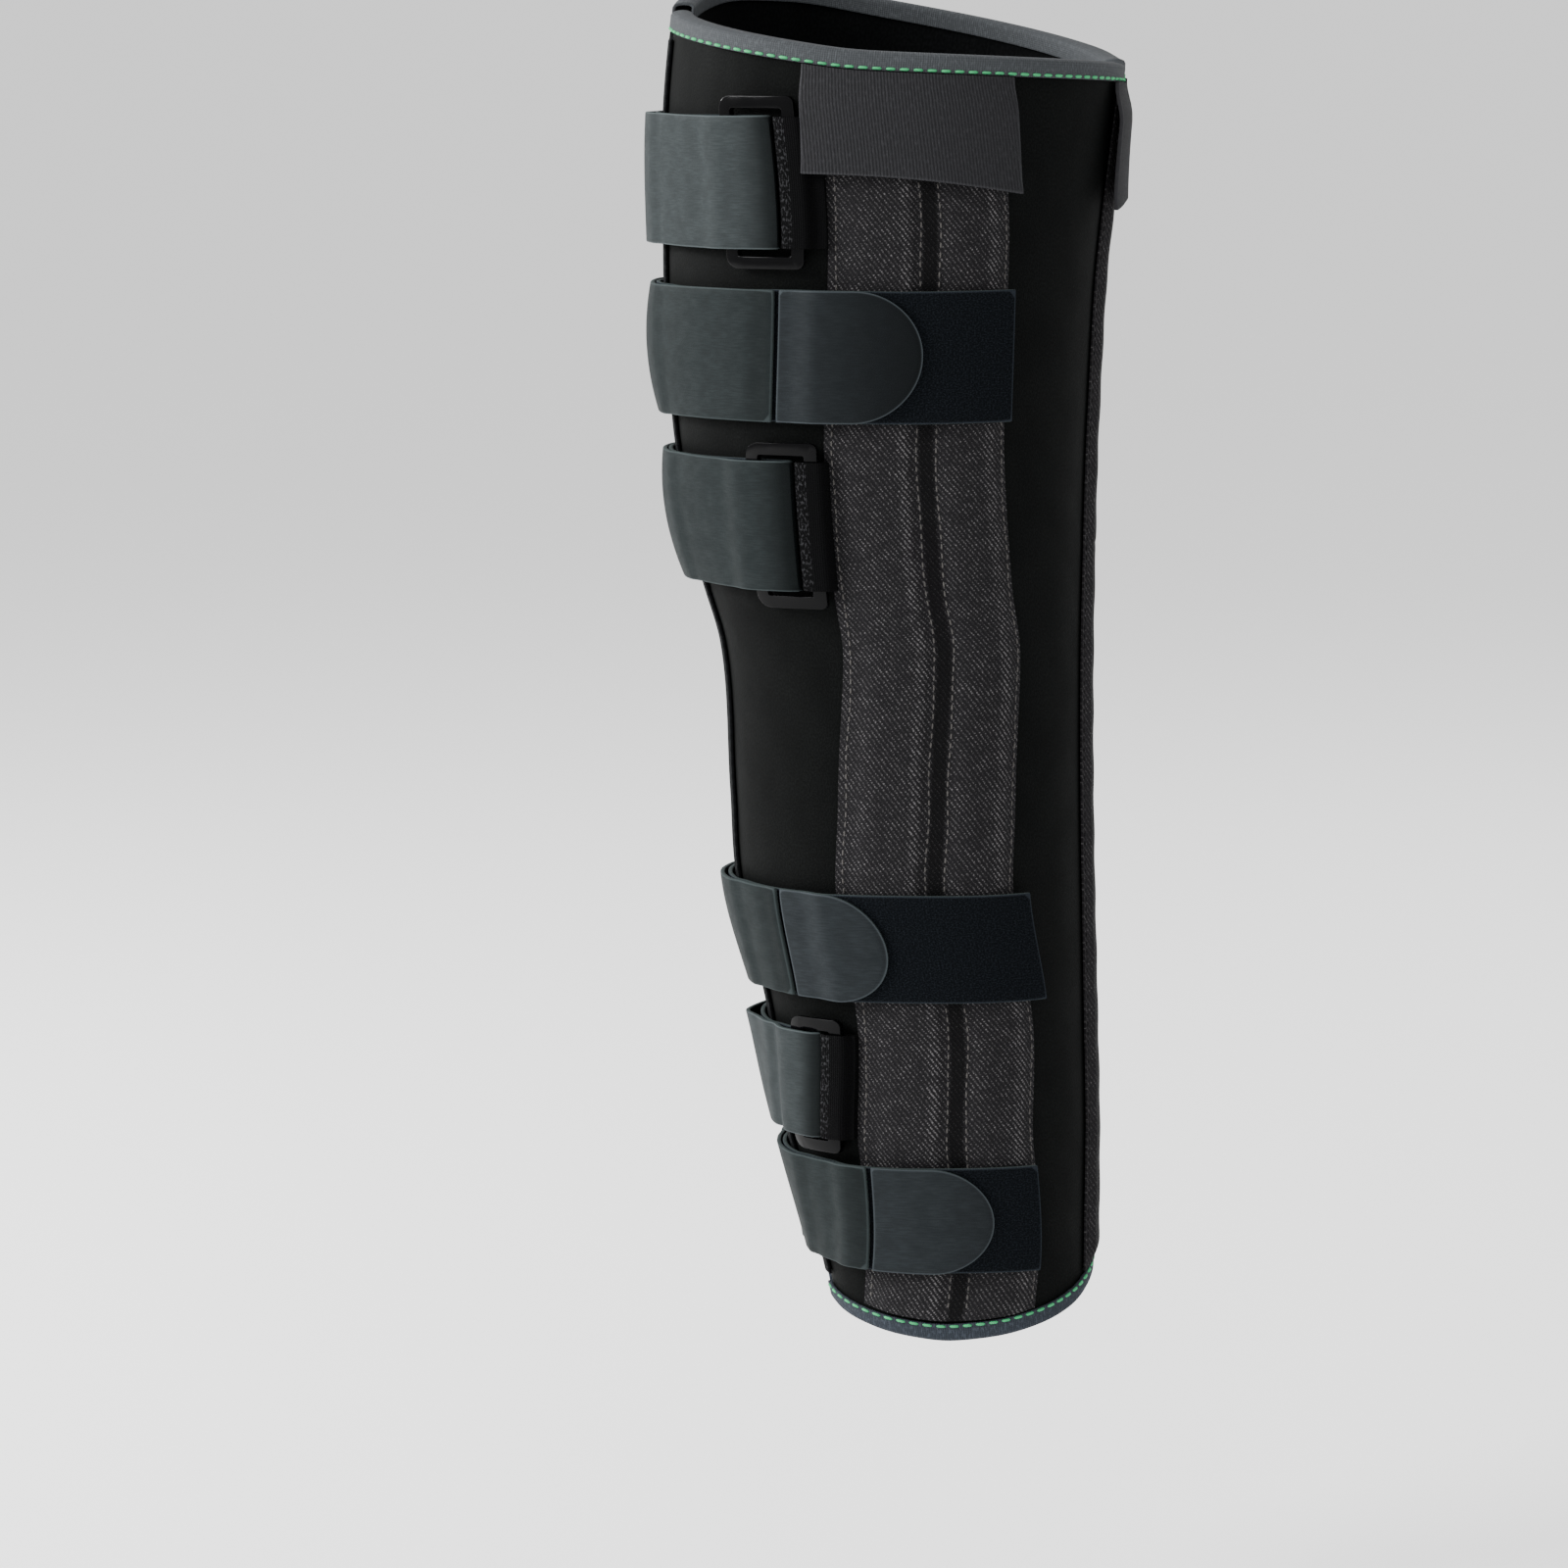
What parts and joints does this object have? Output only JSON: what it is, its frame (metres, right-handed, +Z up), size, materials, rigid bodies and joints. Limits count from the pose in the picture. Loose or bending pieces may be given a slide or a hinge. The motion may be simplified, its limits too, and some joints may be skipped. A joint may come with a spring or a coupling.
{
  "type": "knee immobilizer",
  "caption": "Padded knee immobilizer wrap with stay panels, flaps and ring straps; it closes round a straight leg from mid thigh to above the ankle and holds the knee still.",
  "frame": {"origin": "on the leg's axis at knee height, inside the wrap", "axes": "+Z up the leg, -Y to the front of the knee, +X to the outer side of a left leg"},
  "size_m": [0.1727, 0.1837, 0.5057],
  "materials": {
    "wrap": "black brushed knit bonded to foam",
    "tape": "charcoal folded binding tape with a green stitch line",
    "panel": "charcoal coarse twill with light flecks",
    "flap": "dark grey finely ribbed fabric",
    "strap": "grey-green matt laminate, black plush inside",
    "tab": "grey matt tab with a pressed edge",
    "ring": "black moulded plastic, satin",
    "webbing": "black woven webbing"
  },
  "bodies": {
    "root": {"wrap": "wrap", "top_edge_tape": "tape", "bottom_edge_tape": "tape", "front_edge_tape_lateral": "tape", "front_edge_tape_medial": "tape", "stay_panel_lateral": "panel", "stay_panel_medial": "panel", "stay_panel_back": "panel", "top_flap_lateral": "flap", "top_flap_medial": "flap", "top_flap_back": "flap", "strap_1": "strap", "hook_tab_1": "tab", "strap_ring_1": "ring", "ring_webbing_1": "webbing", "strap_2": "strap", "hook_tab_2": "tab", "strap_ring_2": "ring", "ring_webbing_2": "webbing", "strap_3": "strap", "hook_tab_3": "tab", "strap_ring_3": "ring", "ring_webbing_3": "webbing", "strap_4": "strap", "hook_tab_4": "tab", "strap_ring_4": "ring", "ring_webbing_4": "webbing", "strap_5": "strap", "hook_tab_5": "tab", "strap_ring_5": "ring", "ring_webbing_5": "webbing", "strap_6": "strap", "hook_tab_6": "tab", "strap_ring_6": "ring", "ring_webbing_6": "webbing"}
  },
  "joints": []
}
